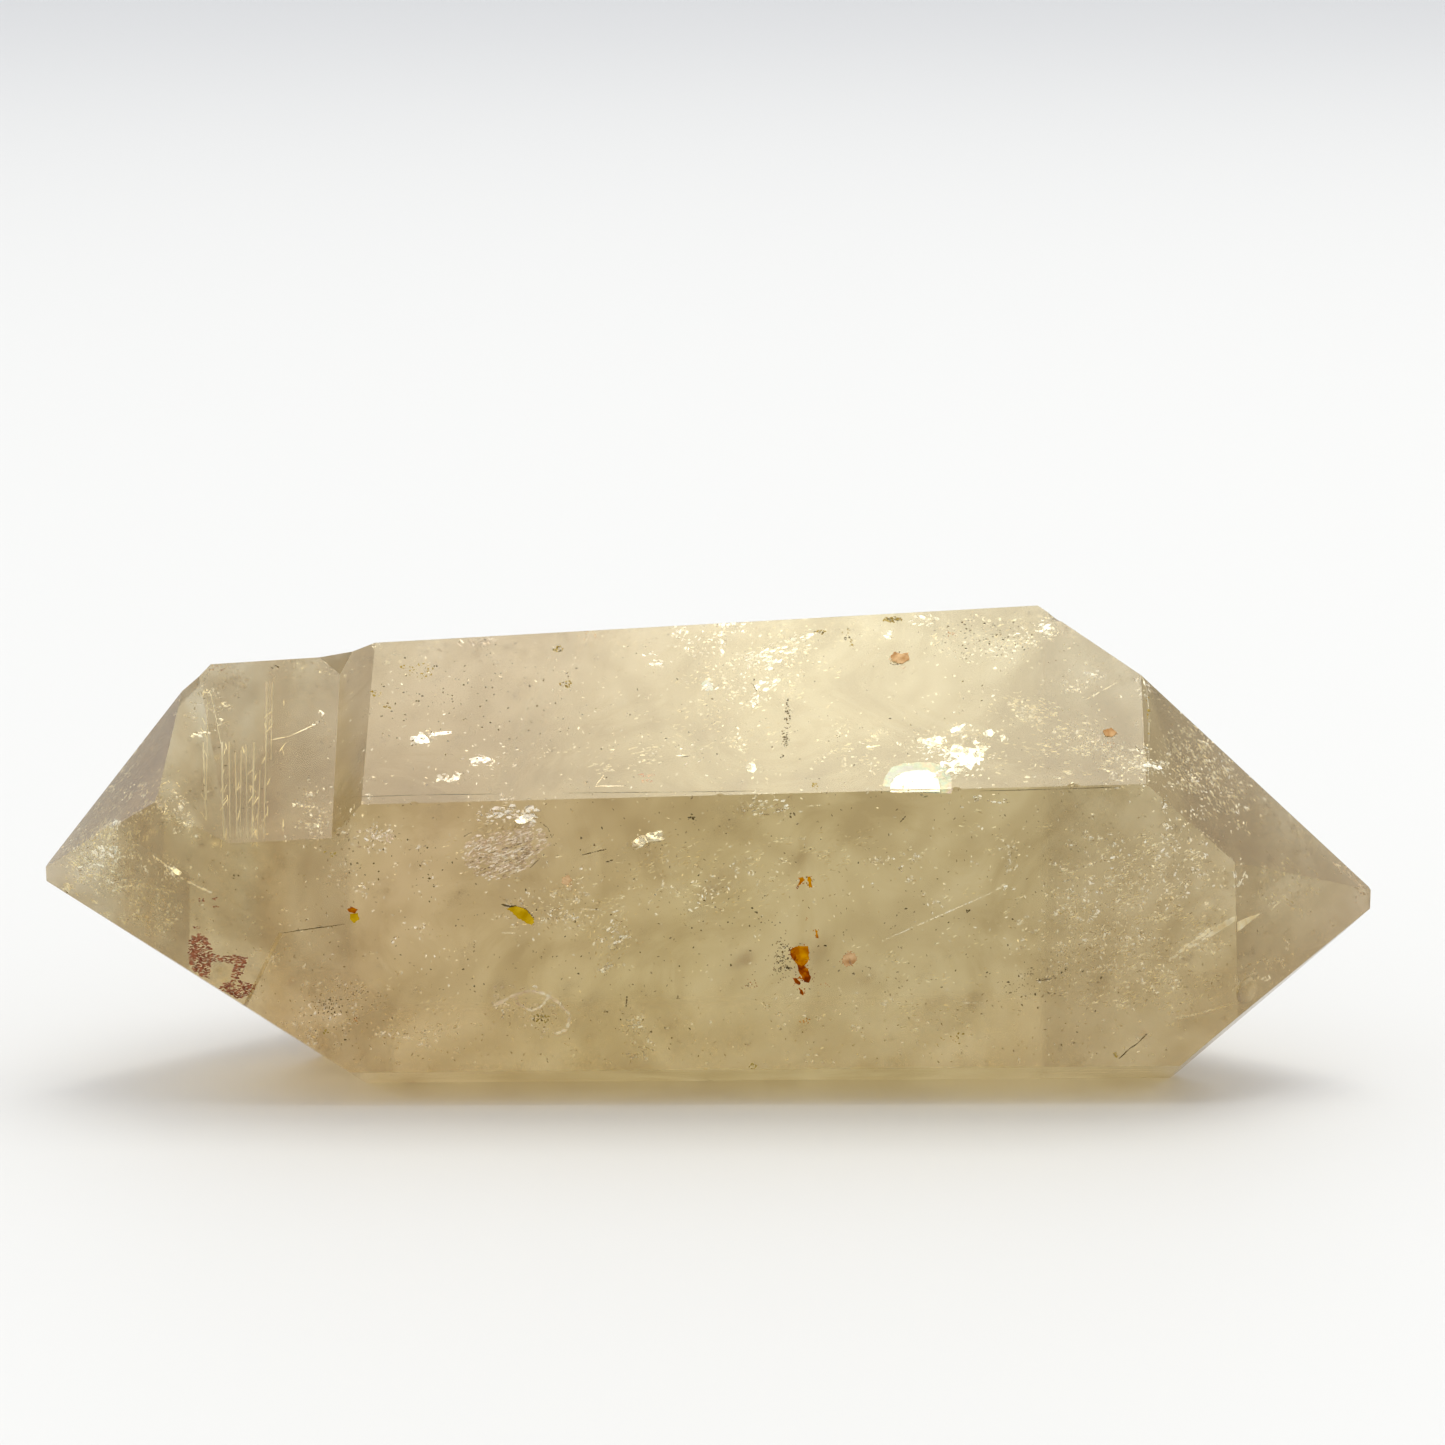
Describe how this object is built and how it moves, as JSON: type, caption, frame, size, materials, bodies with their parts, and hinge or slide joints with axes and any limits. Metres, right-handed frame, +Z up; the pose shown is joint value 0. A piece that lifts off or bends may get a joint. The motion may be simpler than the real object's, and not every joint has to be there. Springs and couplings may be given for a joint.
{
  "type": "quartz crystal",
  "caption": "Clear smoky-yellow quartz crystal, pointed at both ends, with a six-sided prism, a growth ledge and flat faces, lying on its long side.",
  "frame": {"origin": "middle of the crystal's footprint, on the surface it rests on", "axes": "+X along the long axis to the right point, -Y towards the side with the growth ledge, +Z up"},
  "size_m": [0.12, 0.0414, 0.0439],
  "materials": {
    "quartz": "glossy clear quartz, pale smoky yellow, with fractures, veils and iron stains inside"
  },
  "bodies": {
    "root": {"quartz_crystal": "quartz"}
  },
  "joints": []
}
